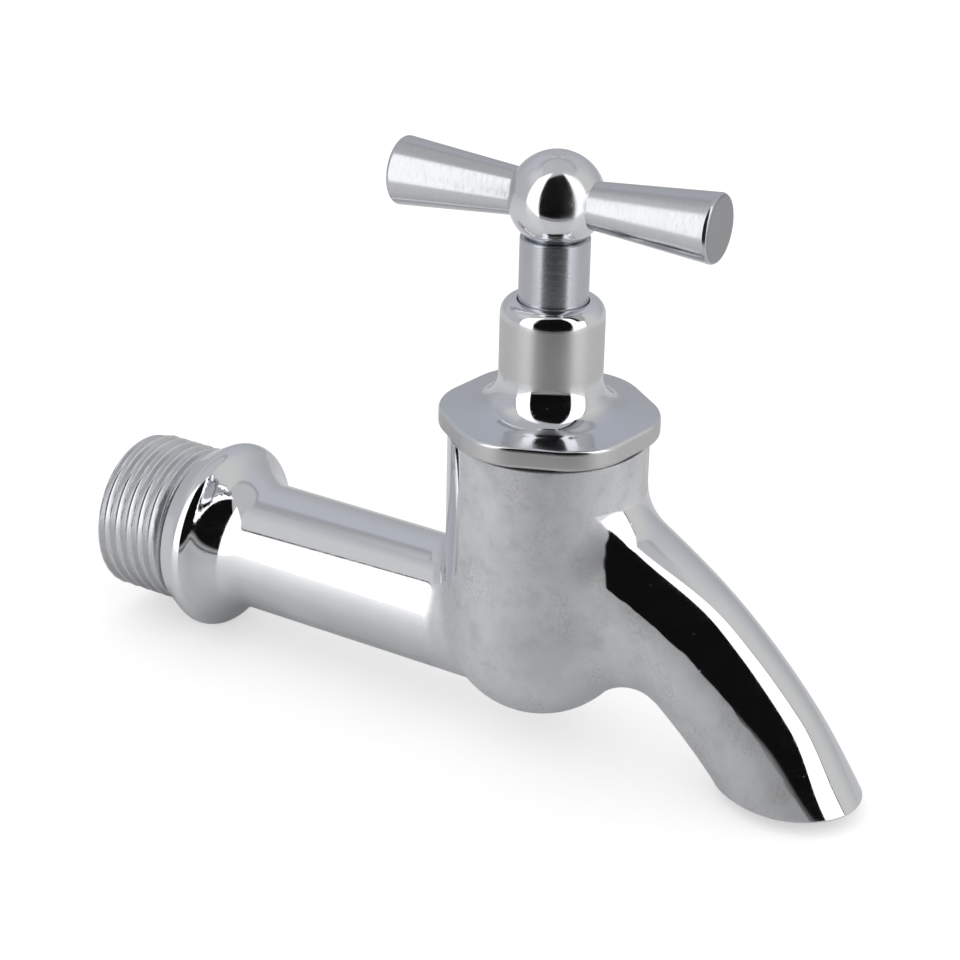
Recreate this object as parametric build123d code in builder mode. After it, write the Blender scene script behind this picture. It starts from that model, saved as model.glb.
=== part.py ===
from build123d import *
from math import cos, radians, sin, sqrt
import os

# Bib tap with a rising spindle and a two-armed bar handle.
# The origin is the middle of the wall seat, where the inlet thread meets the collar.
# +X points away from the wall, +Z is up, and all sizes are millimetres.

os.makedirs("parts", exist_ok=True)

# Inlet: a half inch pipe thread, its collar and the pipe to the valve
thread_radius = 20.955 / 2
thread_length = 11.3
thread_lead_in = 0.9
collar_seat_radius = 11.0
collar_radius = 12.75
collar_crest_x = 2.9
collar_end_x = 8.2
collar_crest_round = 1.7
collar_blend = 5.0
pipe_radius = 8.36
inlet_bore_radius = 6.1

# Valve chamber, upright on the valve axis
reach = 51.5
chamber_radius = 12.2
chamber_top = 27.3
dome_centre_z = 2.3
chamber_bore_radius = 9.2
socket_radius = 10.0
socket_depth = 9.5
bridge_top = 8.2
seat_bore_radius = 4.5
seat_ring_radius = 6.1
seat_top = 9.4

# Spout: a bent tube that narrows to a mouth cut nearly level
spout_start_x = 8.95
spout_start_z = 12.45
spout_start_dip = 28.8
spout_bend_radius = 81.5
spout_arc_length = 46.0
spout_start_radius = 7.92
spout_end_radius = 7.18
spout_width_ratio = 1.037
spout_wall = 1.8
spout_root = 7.0
spout_overrun = 4.0
mouth_x = 35.5
mouth_z = -10.86
mouth_tilt = 1.9
mouth_edge_chamfer = 0.4

# Blends of the casting
pipe_blend = 3.0
spout_blend = 7.0

# Bonnet: screwed skirt, hexagonal plate and neck
gasket_thickness = 0.5
gasket_radius = 11.6
plate_thickness = 2.6
plate_across_flats = 25.4
plate_turn = -6.7
plate_corner_round = 8.3
plate_edge_chamfer = 0.5
neck_wall = 2.02
neck_height = 14.0
neck_shoulder = 1.8
neck_foot_blend = 3.2
neck_foot_ledge = 1.0
skirt_length = 9.0
skirt_clearance = 0.05
skirt_chamfer = 0.8
stem_bore_clearance = 0.07
hole_rim_chamfer = 0.25
lift = 3.5
lift_spare = 0.1

# Spindle with its screw, and what the screw drives
spindle_radius = 4.18
stem_showing = 7.8
spindle_screw_length = 12.6
spindle_chamfer = 0.5
spindle_rim_chamfer = 0.25
screw_shoulder = 1.37
screw_clearance = 0.05
tenon_radius = 2.9
tenon_past_centre = 2.67
seal_groove_width = 1.9
seal_groove_depth = 1.33
seal_corner = 0.35
seal_floor_clearance = 0.01
seal_bore_clearance = 0.03
seal_side_clearance = 0.1
seal_foot = 1.7
seal_spacing = 5.0
stop_ring_thickness = 0.5
stop_ring_clearance = 0.06

# Jumper, washer and nut that close the seat
washer_thickness = 3.0
washer_radius = 6.9
jumper_disc_thickness = 2.2
jumper_disc_radius = 7.3
jumper_stem_radius = 2.4
jumper_stem_length = 8.2
jumper_stem_clearance = 0.1
jumper_stem_room = 1.1
jumper_chamfer = 0.4
jumper_groove_depth = 0.45
jumper_stud_radius = 1.95
stud_hole_clearance = 0.05
washer_plate_thickness = 0.8
washer_plate_radius = 3.9
nut_across_flats = 6.0
nut_height = 2.4
stud_past_nut = 0.6
clip_width = 0.7
clip_thickness = 0.7
clip_slack = 0.05
clip_height = 3.4
clip_gap = 2.0

# Handle: ball hub, cross stud and two turned arms
handle_angle = 4.6
ball_radius = 5.74
ball_seat_depth = 4.53
ball_top_flat = 1.3
arm_inner = 4.75
arm_outer = 20.3
arm_inner_radius = 2.82
arm_outer_radius = 4.2
arm_end_chamfer = 0.4
arm_seat_clearance = 0.05
stud_radius = 2.0
stud_half_length = 11.0
stud_fit = 0.05
stud_hole_room = 1.0

# How far a cutting shape runs past the skin it cuts
cut_past = 1.0

# Heights and places that follow from the sizes above
gasket_bottom = chamber_top
plate_bottom = gasket_bottom + gasket_thickness
plate_top = plate_bottom + plate_thickness
neck_top = plate_top + neck_height
washer_bottom = seat_top
disc_bottom = washer_bottom + washer_thickness
disc_top = disc_bottom + jumper_disc_thickness
screw_top = disc_top + spindle_screw_length
screw_bore_top = screw_top + stop_ring_thickness + lift + lift_spare
lower_seal_height = screw_bore_top + seal_foot
seal_heights = (lower_seal_height, lower_seal_height + seal_spacing)
spindle_shoulder_z = neck_top + stem_showing
ball_centre_z = spindle_shoulder_z + ball_seat_depth
tenon_top = ball_centre_z + tenon_past_centre
stem_bore_radius = spindle_radius + stem_bore_clearance
neck_radius = stem_bore_radius + neck_wall
screw_radius = spindle_radius + screw_shoulder
screw_bore_radius = screw_radius + screw_clearance
seal_groove_floor = spindle_radius - seal_groove_depth
seal_inner_radius = seal_groove_floor + seal_floor_clearance
seal_outer_radius = stem_bore_radius - seal_bore_clearance
jumper_groove_radius = jumper_stem_radius - jumper_groove_depth
clip_inner_radius = jumper_groove_radius + clip_slack
clip_outer_radius = clip_inner_radius + clip_width
clip_groove_radius = clip_outer_radius + clip_slack
clip_groove_width = clip_thickness + 2 * clip_slack
jumper_stud_length = washer_thickness + washer_plate_thickness + nut_height + stud_past_nut
valve_axis = Axis((reach, 0, 0), (0, 0, 1))
valve_plane = Plane.XZ.shift_origin((reach, 0, 0))
stud_plane = Plane(
    origin=(reach, 0, ball_centre_z),
    x_dir=(0, 0, 1),
    z_dir=(cos(radians(handle_angle)), sin(radians(handle_angle)), 0),
)


def level(z, turn=0.0):
    """Horizontal plane on the valve axis at height z."""
    return Plane(origin=(reach, 0, z), x_dir=(cos(radians(turn)), sin(radians(turn)), 0), z_dir=(0, 0, 1))


def spout_plane(distance):
    """Plane square to the spout's centre line, at a distance along it from the start."""
    dip = radians(spout_start_dip) + distance / spout_bend_radius
    start = radians(spout_start_dip)
    x = reach + spout_start_x + spout_bend_radius * (sin(dip) - sin(start))
    z = spout_start_z + spout_bend_radius * (cos(dip) - cos(start))
    return Plane(origin=(x, 0, z), x_dir=(0, 1, 0), z_dir=(cos(dip), 0, -sin(dip)))


def spout_tube(wall, start, end, count=5):
    """Sections of the spout, a wall's thickness inside its outer skin, lofted along its bend."""
    with BuildPart() as tube:
        for i in range(count):
            distance = start + (end - start) * i / (count - 1)
            share = max(distance, 0) / spout_arc_length
            radius = spout_start_radius + (spout_end_radius - spout_start_radius) * share - wall
            with BuildSketch(spout_plane(distance)):
                Ellipse(radius * spout_width_ratio, radius)
        loft()
    return tube.part


def is_spout_root(point):
    """True for the curves where the spout's skin leaves the chamber."""
    ahead = point.X - reach
    return spout_root < ahead < chamber_radius + spout_blend and point.Z > dome_centre_z - chamber_radius


# Tap body: one casting with the inlet, the chamber, its seat and the spout
mouth_plane = Plane(
    origin=(reach + mouth_x, 0, mouth_z),
    x_dir=(cos(radians(mouth_tilt)), 0, sin(radians(mouth_tilt))),
    z_dir=(-sin(radians(mouth_tilt)), 0, cos(radians(mouth_tilt))),
)
spout_way = spout_tube(spout_wall, -spout_root, spout_arc_length + 2 * spout_overrun)

with BuildPart() as spout_skin:
    add(spout_tube(0, -spout_root, spout_arc_length + spout_overrun))
    split(bisect_by=mouth_plane, keep=Keep.TOP)

with BuildPart() as tap_body:
    with BuildSketch(Plane.XZ) as inlet_profile:
        with BuildLine():
            Polyline(
                (-thread_length, 0),
                (-thread_length, thread_radius - thread_lead_in / 2),
                (-thread_length + thread_lead_in, thread_radius),
                (0, thread_radius),
                (0, collar_seat_radius),
                (collar_crest_x, collar_radius),
                (collar_end_x, pipe_radius),
                (reach, pipe_radius),
                (reach, 0),
                close=True,
            )
        make_face()
        crest = inlet_profile.vertices().sort_by(Axis.Y)[-1]
        fillet(crest, collar_crest_round)
        cone_end = inlet_profile.vertices().sort_by_distance((collar_end_x, pipe_radius, 0))[0]
        fillet(cone_end, collar_blend)
    revolve(axis=Axis.X)

    # Chamber with its round bottom, blended into the pipe
    with BuildSketch(valve_plane):
        with BuildLine():
            dome = CenterArc((0, dome_centre_z), chamber_radius, -90, 90)
            side = Line(dome @ 1, (chamber_radius, chamber_top))
            Polyline(side @ 1, (0, chamber_top), dome @ 0)
        make_face()
    revolve(axis=valve_axis)
    joint = tap_body.edges(Select.LAST).filter_by(GeomType.BSPLINE)
    fillet(joint, pipe_blend)

    # Spout, blended into the chamber all round its root
    add(spout_skin.part)
    joint = tap_body.edges(Select.LAST).filter_by(lambda edge: is_spout_root(edge.center()))
    fillet(joint.filter_by(GeomType.LINE, reverse=True), spout_blend)

    # Inlet bore with a round end under the seat
    with BuildSketch(Plane.YZ.offset(-thread_length)):
        Circle(inlet_bore_radius)
    extrude(amount=thread_length + reach, mode=Mode.SUBTRACT)
    with Locations((reach, 0, 0)):
        Sphere(inlet_bore_radius, mode=Mode.SUBTRACT)

    # Chamber above the bridge, and the wider socket for the bonnet
    with BuildSketch(level(bridge_top)):
        Circle(chamber_bore_radius)
    extrude(until=Until.LAST, mode=Mode.SUBTRACT)
    with BuildSketch(level(chamber_top)):
        Circle(socket_radius)
    extrude(amount=-socket_depth, mode=Mode.SUBTRACT)

    # Water way down the spout
    add(spout_way, mode=Mode.SUBTRACT)

    # Raised seat ring, and the seat bore through the bridge
    with BuildSketch(level(inlet_bore_radius)):
        Circle(seat_ring_radius)
    extrude(amount=seat_top - inlet_bore_radius)
    with BuildSketch(level(0)):
        Circle(seat_bore_radius)
    extrude(amount=seat_top, mode=Mode.SUBTRACT)

    # Softened rim of the mouth
    rims = tap_body.faces().filter_by(lambda face: face.is_planar and face.center().X > reach + chamber_radius)
    chamfer(rims.edges().sort_by(SortBy.LENGTH)[-1], mouth_edge_chamfer)


# Bonnet gasket, a flat ring under the bonnet's plate
with BuildPart() as bonnet_gasket:
    with BuildSketch(level(gasket_bottom)):
        Circle(gasket_radius)
        Circle(socket_radius, mode=Mode.SUBTRACT)
    extrude(amount=gasket_thickness)


# Bonnet: threaded skirt, hexagonal plate and neck with a cross-section turned on the valve axis
with BuildPart() as bonnet:
    with BuildSketch(level(plate_bottom, 30 + plate_turn)):
        RegularPolygon(plate_across_flats / 2, 6, major_radius=False)
    extrude(amount=plate_thickness)
    fillet(bonnet.edges().filter_by(Axis.Z), plate_corner_round)
    chamfer(bonnet.faces().filter_by(Axis.Z).edges(), plate_edge_chamfer)
    with BuildSketch(valve_plane) as neck_profile:
        with BuildLine():
            foot_radius = neck_radius + neck_foot_blend + neck_foot_ledge
            Polyline(
                (0, plate_bottom),
                (0, neck_top),
                (neck_radius, neck_top),
                (neck_radius, plate_top),
                (foot_radius, plate_top),
                (foot_radius, plate_bottom),
                close=True,
            )
        make_face()
        fillet(neck_profile.vertices().sort_by_distance((neck_radius, neck_top, 0))[0], neck_shoulder)
        fillet(neck_profile.vertices().sort_by_distance((neck_radius, plate_top, 0))[0], neck_foot_blend)
    revolve(axis=valve_axis)
    with BuildSketch(level(plate_bottom)):
        Circle(socket_radius - skirt_clearance)
    extrude(amount=-skirt_length)
    chamfer(bonnet.edges().sort_by(Axis.Z)[0], skirt_chamfer)
    with BuildSketch(level(plate_bottom - skirt_length)):
        Circle(screw_bore_radius)
    extrude(amount=screw_bore_top - plate_bottom + skirt_length, mode=Mode.SUBTRACT)
    with BuildSketch(level(screw_bore_top)):
        Circle(stem_bore_radius)
    extrude(until=Until.LAST, mode=Mode.SUBTRACT)
    rim = bonnet.edges().filter_by(GeomType.CIRCLE).group_by(Axis.Z)[-1].sort_by(SortBy.RADIUS)[0]
    chamfer(rim, hole_rim_chamfer)


# Spindle: screw at the foot, plain stem with two seal grooves, tenon for the handle's ball
with BuildPart() as spindle:
    with BuildSketch(level(disc_top)):
        Circle(screw_radius)
    extrude(amount=spindle_screw_length)
    chamfer(spindle.edges().filter_by(GeomType.CIRCLE), spindle_chamfer)
    with BuildSketch(level(screw_top)):
        Circle(spindle_radius)
    extrude(amount=spindle_shoulder_z - screw_top)
    chamfer(spindle.edges().filter_by(GeomType.CIRCLE).sort_by(Axis.Z)[-1], spindle_rim_chamfer)
    with BuildSketch(level(spindle_shoulder_z)):
        Circle(tenon_radius)
    extrude(amount=tenon_top - spindle_shoulder_z)
    for height in seal_heights:
        with BuildSketch(level(height - seal_groove_width / 2)):
            Circle(spindle_radius + cut_past)
            Circle(seal_groove_floor, mode=Mode.SUBTRACT)
        extrude(amount=seal_groove_width, mode=Mode.SUBTRACT)
    with BuildSketch(level(disc_top)):
        Circle(jumper_stem_radius + jumper_stem_clearance)
    extrude(amount=jumper_stem_length + jumper_stem_room, mode=Mode.SUBTRACT)
    with BuildSketch(level(disc_top + clip_height - clip_groove_width / 2)):
        Circle(clip_groove_radius)
    extrude(amount=clip_groove_width, mode=Mode.SUBTRACT)
    with BuildSketch(stud_plane):
        Circle(stud_radius + stud_fit)
    extrude(amount=tenon_radius + cut_past, both=True, mode=Mode.SUBTRACT)


def seal_ring(height):
    """Rubber ring, pressed square with soft corners, that fills a spindle groove and reaches the bonnet's bore."""
    with BuildPart() as ring:
        with BuildSketch(valve_plane) as section:
            with Locations(((seal_inner_radius + seal_outer_radius) / 2, height)):
                Rectangle(seal_outer_radius - seal_inner_radius, seal_groove_width - 2 * seal_side_clearance)
            chamfer(section.vertices(), seal_corner)
        revolve(axis=valve_axis)
    return ring


lower_seal, upper_seal = (seal_ring(height) for height in seal_heights)


# Stop ring: a slip ring on the screw's shoulder that meets the bonnet when the tap is fully open
with BuildPart() as stop_ring:
    with BuildSketch(level(screw_top)):
        Circle(screw_radius - spindle_chamfer)
        Circle(spindle_radius + stop_ring_clearance, mode=Mode.SUBTRACT)
    extrude(amount=stop_ring_thickness)


# Jumper: valve disc with a stem in the spindle and a threaded stud below
with BuildPart() as jumper:
    with BuildSketch(level(disc_bottom)):
        Circle(jumper_disc_radius)
    extrude(amount=jumper_disc_thickness)
    chamfer(jumper.edges().sort_by(Axis.Z)[-1], jumper_chamfer)
    with BuildSketch(level(disc_top)):
        Circle(jumper_stem_radius)
    extrude(amount=jumper_stem_length)
    chamfer(jumper.edges().sort_by(Axis.Z)[-1], jumper_chamfer)
    with BuildSketch(level(disc_top + clip_height - clip_groove_width / 2)):
        Circle(jumper_stem_radius + cut_past)
        Circle(jumper_groove_radius, mode=Mode.SUBTRACT)
    extrude(amount=clip_groove_width, mode=Mode.SUBTRACT)
    with BuildSketch(level(disc_bottom)):
        Circle(jumper_stud_radius)
    extrude(amount=-jumper_stud_length)


# Jumper clip: a split spring ring that keeps the jumper in the spindle
with BuildPart() as jumper_clip:
    with BuildSketch(level(disc_top + clip_height - clip_thickness / 2)):
        Circle(clip_outer_radius)
        Circle(clip_inner_radius, mode=Mode.SUBTRACT)
        with Locations((clip_outer_radius, 0)):
            Rectangle(2 * clip_width + clip_slack, clip_gap, mode=Mode.SUBTRACT)
    extrude(amount=clip_thickness)


# Seat washer, the plate under it and the nut that holds both
with BuildPart() as seat_washer:
    with BuildSketch(level(washer_bottom)):
        Circle(washer_radius)
        Circle(jumper_stud_radius + stud_hole_clearance, mode=Mode.SUBTRACT)
    extrude(amount=washer_thickness)

with BuildPart() as washer_plate:
    with BuildSketch(level(washer_bottom - washer_plate_thickness)):
        Circle(washer_plate_radius)
        Circle(jumper_stud_radius + stud_hole_clearance, mode=Mode.SUBTRACT)
    extrude(amount=washer_plate_thickness)

with BuildPart() as washer_nut:
    with BuildSketch(level(washer_bottom - washer_plate_thickness)):
        RegularPolygon(nut_across_flats / 2, 6, major_radius=False)
        Circle(jumper_stud_radius + stud_hole_clearance, mode=Mode.SUBTRACT)
    extrude(amount=-nut_height)


# Ball hub: bored from below for the tenon, cross bored for the stud, faced where the arms seat
with BuildPart() as handle_hub:
    with Locations((reach, 0, ball_centre_z)):
        Sphere(ball_radius)
    split(bisect_by=level(spindle_shoulder_z), keep=Keep.TOP)
    split(bisect_by=level(ball_centre_z + sqrt(ball_radius**2 - ball_top_flat**2)), keep=Keep.BOTTOM)
    with BuildSketch(level(spindle_shoulder_z)):
        Circle(tenon_radius + stud_fit)
    extrude(amount=tenon_top - spindle_shoulder_z + stud_fit, mode=Mode.SUBTRACT)
    with BuildSketch(stud_plane):
        Circle(stud_radius + stud_fit)
    extrude(amount=ball_radius, both=True, mode=Mode.SUBTRACT)
    for side in (1, -1):
        with BuildSketch(stud_plane.offset(side * arm_inner)):
            Circle(arm_inner_radius + arm_seat_clearance)
        extrude(amount=side * ball_radius, mode=Mode.SUBTRACT)


# Cross stud, threaded into both arms, which locks the ball to the spindle
with BuildPart() as handle_stud:
    with BuildSketch(stud_plane):
        Circle(stud_radius)
    extrude(amount=stud_half_length, both=True)


def handle_arm(side):
    """Turned arm that widens outwards, with a blind hole for the stud."""
    with BuildPart() as arm:
        with BuildSketch(stud_plane.offset(side * arm_inner)):
            Circle(arm_inner_radius)
        with BuildSketch(stud_plane.offset(side * arm_outer)):
            Circle(arm_outer_radius)
        loft()
        chamfer(arm.edges().filter_by(GeomType.CIRCLE).sort_by(SortBy.RADIUS)[-1], arm_end_chamfer)
        with BuildSketch(stud_plane.offset(side * arm_inner)):
            Circle(stud_radius + stud_fit)
        extrude(amount=side * (stud_half_length - arm_inner + stud_hole_room), mode=Mode.SUBTRACT)
    return arm


front_arm = handle_arm(1)
rear_arm = handle_arm(-1)

# Every piece is named and written to its own file
tap_body.part.label = "tap_body"
export_step(tap_body.part, "parts/tap_body.step")
bonnet_gasket.part.label = "bonnet_gasket"
export_step(bonnet_gasket.part, "parts/bonnet_gasket.step")
bonnet.part.label = "bonnet"
export_step(bonnet.part, "parts/bonnet.step")
spindle.part.label = "spindle"
export_step(spindle.part, "parts/spindle.step")
lower_seal.part.label = "lower_seal"
export_step(lower_seal.part, "parts/lower_seal.step")
upper_seal.part.label = "upper_seal"
export_step(upper_seal.part, "parts/upper_seal.step")
stop_ring.part.label = "stop_ring"
export_step(stop_ring.part, "parts/stop_ring.step")
jumper.part.label = "jumper"
export_step(jumper.part, "parts/jumper.step")
jumper_clip.part.label = "jumper_clip"
export_step(jumper_clip.part, "parts/jumper_clip.step")
seat_washer.part.label = "seat_washer"
export_step(seat_washer.part, "parts/seat_washer.step")
washer_plate.part.label = "washer_plate"
export_step(washer_plate.part, "parts/washer_plate.step")
washer_nut.part.label = "washer_nut"
export_step(washer_nut.part, "parts/washer_nut.step")
handle_hub.part.label = "handle_hub"
export_step(handle_hub.part, "parts/handle_hub.step")
handle_stud.part.label = "handle_stud"
export_step(handle_stud.part, "parts/handle_stud.step")
front_arm.part.label = "front_arm"
export_step(front_arm.part, "parts/front_arm.step")
rear_arm.part.label = "rear_arm"
export_step(rear_arm.part, "parts/rear_arm.step")
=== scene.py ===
from math import cos, pi, radians, sin, tan
import bmesh
import bpy
import numpy as np
from mathutils import Matrix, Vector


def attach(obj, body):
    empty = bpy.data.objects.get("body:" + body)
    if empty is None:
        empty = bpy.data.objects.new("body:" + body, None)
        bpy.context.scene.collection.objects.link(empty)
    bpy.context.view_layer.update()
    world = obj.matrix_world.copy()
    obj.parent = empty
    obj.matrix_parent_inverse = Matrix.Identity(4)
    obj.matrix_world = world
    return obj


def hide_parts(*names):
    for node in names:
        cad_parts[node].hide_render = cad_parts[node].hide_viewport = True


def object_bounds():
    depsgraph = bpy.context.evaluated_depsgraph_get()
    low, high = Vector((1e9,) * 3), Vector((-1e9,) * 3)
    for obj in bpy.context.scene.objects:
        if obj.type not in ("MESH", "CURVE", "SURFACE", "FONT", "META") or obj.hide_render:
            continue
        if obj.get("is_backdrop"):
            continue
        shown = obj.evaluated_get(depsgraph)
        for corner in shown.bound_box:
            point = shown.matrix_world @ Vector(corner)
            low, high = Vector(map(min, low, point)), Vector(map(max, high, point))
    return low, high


# Bib tap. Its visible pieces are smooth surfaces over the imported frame, worked out in
# millimetres in the frame's axes and turned to metres when their mesh is made.
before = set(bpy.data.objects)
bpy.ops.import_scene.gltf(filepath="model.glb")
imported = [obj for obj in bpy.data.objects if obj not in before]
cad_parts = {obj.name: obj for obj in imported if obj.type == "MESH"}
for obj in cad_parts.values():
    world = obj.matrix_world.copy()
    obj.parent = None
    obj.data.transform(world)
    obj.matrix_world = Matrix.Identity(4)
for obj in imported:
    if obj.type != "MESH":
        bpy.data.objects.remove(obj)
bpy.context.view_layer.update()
mm = 0.001
tiny = 1e-12  # keeps a division by nothing from failing
valveX = 51.5  # the valve axis stands this far from the wall seat
ballZ = 56.73  # height of the ball's middle over the inlet's axis
print("frame loaded:", len(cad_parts), "nodes")


def unit(v):
    # Each vector divided by its own length
    return v / np.maximum(np.linalg.norm(v, axis=-1, keepdims=True), tiny)


def circle(segments):
    # Angles all the way round, in even steps
    return np.linspace(0, 2 * pi, segments, endpoint=False)


def spokesOf(angle, side, over):
    # cos(angle) side + sin(angle) over
    return np.cos(angle)[:, None] * side + np.sin(angle)[:, None] * over


def outline(corners, steps=8):
    # (x, y, round) corners in order. Each corner gives way to an arc of its round, tangent
    # to both neighbours: centre + (sin((1-t)w) start + sin(t w) stop) / sin(w), t from 0 to 1.
    places = [np.array(corner[:2], float) for corner in corners]
    parts = []
    for i, here in enumerate(places):
        size = corners[i][2]
        if size == 0:
            parts.append(here[None])
            continue
        a = unit(places[i - 1] - here)
        b = unit(places[(i + 1) % len(places)] - here)
        half = np.arccos(np.clip(a @ b, -1, 1)) / 2
        centre = here + unit(a + b) * size / sin(half)
        start = here + a * size / tan(half) - centre
        stop = here + b * size / tan(half) - centre
        t = np.linspace(0, 1, steps)[:, None]
        w = pi - 2 * half
        parts.append(centre + (np.sin((1 - t) * w) * start + np.sin(t * w) * stop) / sin(w))
    return np.concatenate(parts)


def revolved(line, segments, origin, axis=(0, 0, 1)):
    # Each (radius, height) of the line goes round the axis:
    # origin + radius (cos(angle) side + sin(angle) over) + height axis.
    axis = unit(np.array(axis, float))
    side = unit(np.cross((0, 1, 0) if abs(axis[1]) < 0.9 else (1, 0, 0), axis))
    spokes = spokesOf(circle(segments), side, np.cross(axis, side))
    return np.array(origin, float) + line[:, None, :1] * spokes + line[:, None, 1:2] * axis


def placed(name, data):
    # A new object in the scene, at the origin
    made = bpy.data.objects.new(name, data)
    bpy.context.scene.collection.objects.link(made)
    return made


def newPiece(name, points, faces, normals, body, slot, nodes=()):
    # One mesh in metres with its own normals, riding on a body of the frame
    mesh = bpy.data.meshes.new(name)
    mesh.from_pydata((points * mm).tolist(), [], faces)
    mesh.shade_smooth()
    mesh.normals_split_custom_set_from_vertices(normals.tolist())
    piece = placed(name, mesh)
    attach(piece, body)
    if nodes:
        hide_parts(*nodes)
    print("made", name, len(faces), "faces")
    return piece


def quadsBetween(index):
    # Quads between the rows of a table of point numbers whose columns go round
    a, b = index[:-1], index[1:]
    return np.stack([a, np.roll(a, -1, 1), np.roll(b, -1, 1), b], 2).reshape(-1, 4)


def fanTo(ring, last):
    # Triangles from a ring of point numbers to one point
    return np.stack([ring, np.roll(ring, -1), np.full(len(ring), last)], 1)


def gridShape(grid, loop=False):
    # Points, faces and normals of a grid whose columns go round. Its rows either close into a
    # loop or end in a point. A normal is the cross product of the steps to both sides.
    rows, cols = grid.shape[:2]
    across = np.roll(grid, -1, 1) - np.roll(grid, 1, 1)
    along = np.roll(grid, -1, 0) - np.roll(grid, 1, 0) if loop else np.gradient(grid, axis=0)
    normals = unit(np.cross(across, along))
    if loop:
        points = grid.reshape(-1, 3)
        index = np.arange(rows * cols).reshape(rows, cols)
        index = np.vstack([index, index[:1]])
        ends = []
    else:
        normals[0] = unit(normals[1].mean(0))
        normals[-1] = unit(normals[-2].mean(0))
        points = np.vstack([grid[0, :1], grid[1:-1].reshape(-1, 3), grid[-1, :1]])
        normals = np.vstack([normals[0, :1], normals[1:-1].reshape(-1, 3), normals[-1, :1]])
        index = np.arange((rows - 2) * cols).reshape(rows - 2, cols) + 1
        ends = np.vstack([fanTo(index[0], 0)[:, ::-1], fanTo(index[-1], len(points) - 1)]).tolist()
    quads = quadsBetween(index)
    normals = normals.reshape(-1, 3)
    p = points[quads[:, :3]]  # a volume below nought means that the faces look inwards
    if np.einsum("ij,ij->", p[:, 0], np.cross(p[:, 1], p[:, 2])) < 0:
        quads = quads[:, ::-1]
        ends = [face[::-1] for face in ends]
        normals = -normals
    return points, quads.tolist() + ends, normals


# The casting's skin is the place where a distance is nought. Each simple skin gives the
# distance of points from it, less than nought inside, and the direction away from it.
casting = {
    "collarSeat": 11.0, "collarCrest": (3.65, 12.95, 1.8), "collarEnd": (6.67, 8.36, 6.0),
    "pipeFrom": -9, "pipeTo": 70, "inletBore": 6.15, "inletDepth": 44.0, "inletEdge": 0.3,
    "inletRings": (1.0, 20), "chamber": 12.2, "dome": 2.3, "top": 27.3, "socket": 10.0,
    "socketFoot": 17.8, "chamberBore": 9.2, "chamberFoot": 8.2, "seatRing": 6.1, "seatTop": 9.4,
    "seatBore": 4.5, "seatFoot": 4.0, "boreEdge": 0.2,
    "bend": 81.5, "dip": 28.8, "spoutX": 8.95, "spoutZ": 12.45, "spoutArc": 46.0,
    "spoutStart": 7.92, "spoutEnd": 7.18, "spoutWidth": 1.037, "spoutRoot": -7.0, "wall": 1.8,
    "flankFrom": (3.0, 15.0), "flankTo": (28.0, 38.0), "flankWidth": 0.928, "flankHeight": 1.083,
    "mouthX": 35.5, "mouthZ": -10.86, "mouthTilt": 1.9, "mouthSoft": ((0.3, 0), (0.09, 0.09), (0, 0.3)),
    "mouthRings": (30, 26, 22, 18, 14, 12), "lastRing": 0.95,
    "pipeBlend": 3.0, "spoutBlend": 7.0, "seatEdge": 0.12, "topEdge": 0.1, "mouthEdge": 0.35,
    "cell": 0.55, "rounds": 6, "blockLow": (-1.4, -13.6, -14.0), "blockHigh": (96.0, 13.6, 28.8),
}
inletLine = outline([(casting["pipeFrom"], casting["collarSeat"], 0), (0, casting["collarSeat"], 0),
                     casting["collarCrest"], casting["collarEnd"],
                     (casting["pipeTo"], casting["collarEnd"][1], 0)], 60)


def inletSkin(p):
    # Turned skin of the collar and pipe: (distance from the X axis - profile radius at x),
    # divided by the length of the profile's slope. The pipe ends in a ball at the valve axis.
    past = np.maximum(p[:, 0] - valveX, 0)
    away = np.sqrt(p[:, 1] ** 2 + p[:, 2] ** 2 + past ** 2)
    step = 0.05
    before, radius, after = (np.interp(p[:, 0] + off, inletLine[:, 0], inletLine[:, 1])
                             for off in (-step, 0, step))
    rise = (after - before) / (2 * step)
    long = np.sqrt(1 + rise ** 2)
    far = np.maximum(away, tiny)
    way = np.stack([past / far - rise, p[:, 1] / far, p[:, 2] / far], 1)
    return (away - radius) / long, way / long[:, None]


def chamberSkin(p):
    # Upright capsule: distance from the valve axis above the dome's centre, from that centre below.
    d = p - (valveX, 0, 0)
    d[:, 2] = np.minimum(p[:, 2] - casting["dome"], 0)
    away = np.linalg.norm(d, axis=1)
    return away - casting["chamber"], d / np.maximum(away, tiny)[:, None]


startDip = radians(casting["dip"])
bendX = valveX + casting["spoutX"] - casting["bend"] * sin(startDip)
bendZ = casting["spoutZ"] - casting["bend"] * cos(startDip)


def spoutRadius(distance):
    # Narrows evenly from its start to its end, and doesn't widen before the start.
    share = np.maximum(distance, 0) / casting["spoutArc"]
    return casting["spoutStart"] + (casting["spoutEnd"] - casting["spoutStart"]) * share


def eased(value, span):
    # 0 before the span, 1 after it, and 3 t^2 - 2 t^3 between
    t = np.clip((value - span[0]) / (span[1] - span[0]), 0, 1)
    return t * t * (3 - 2 * t)


def spoutShares(distance):
    # Width and height of the spout's section as shares of its radius: near round at its
    # root and at the mouth, narrower and taller between.
    flank = eased(distance, casting["flankFrom"]) * (1 - eased(distance, casting["flankTo"]))
    width = casting["spoutWidth"] + (casting["flankWidth"] - casting["spoutWidth"]) * flank
    return width, 1 + (casting["flankHeight"] - 1) * flank


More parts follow.
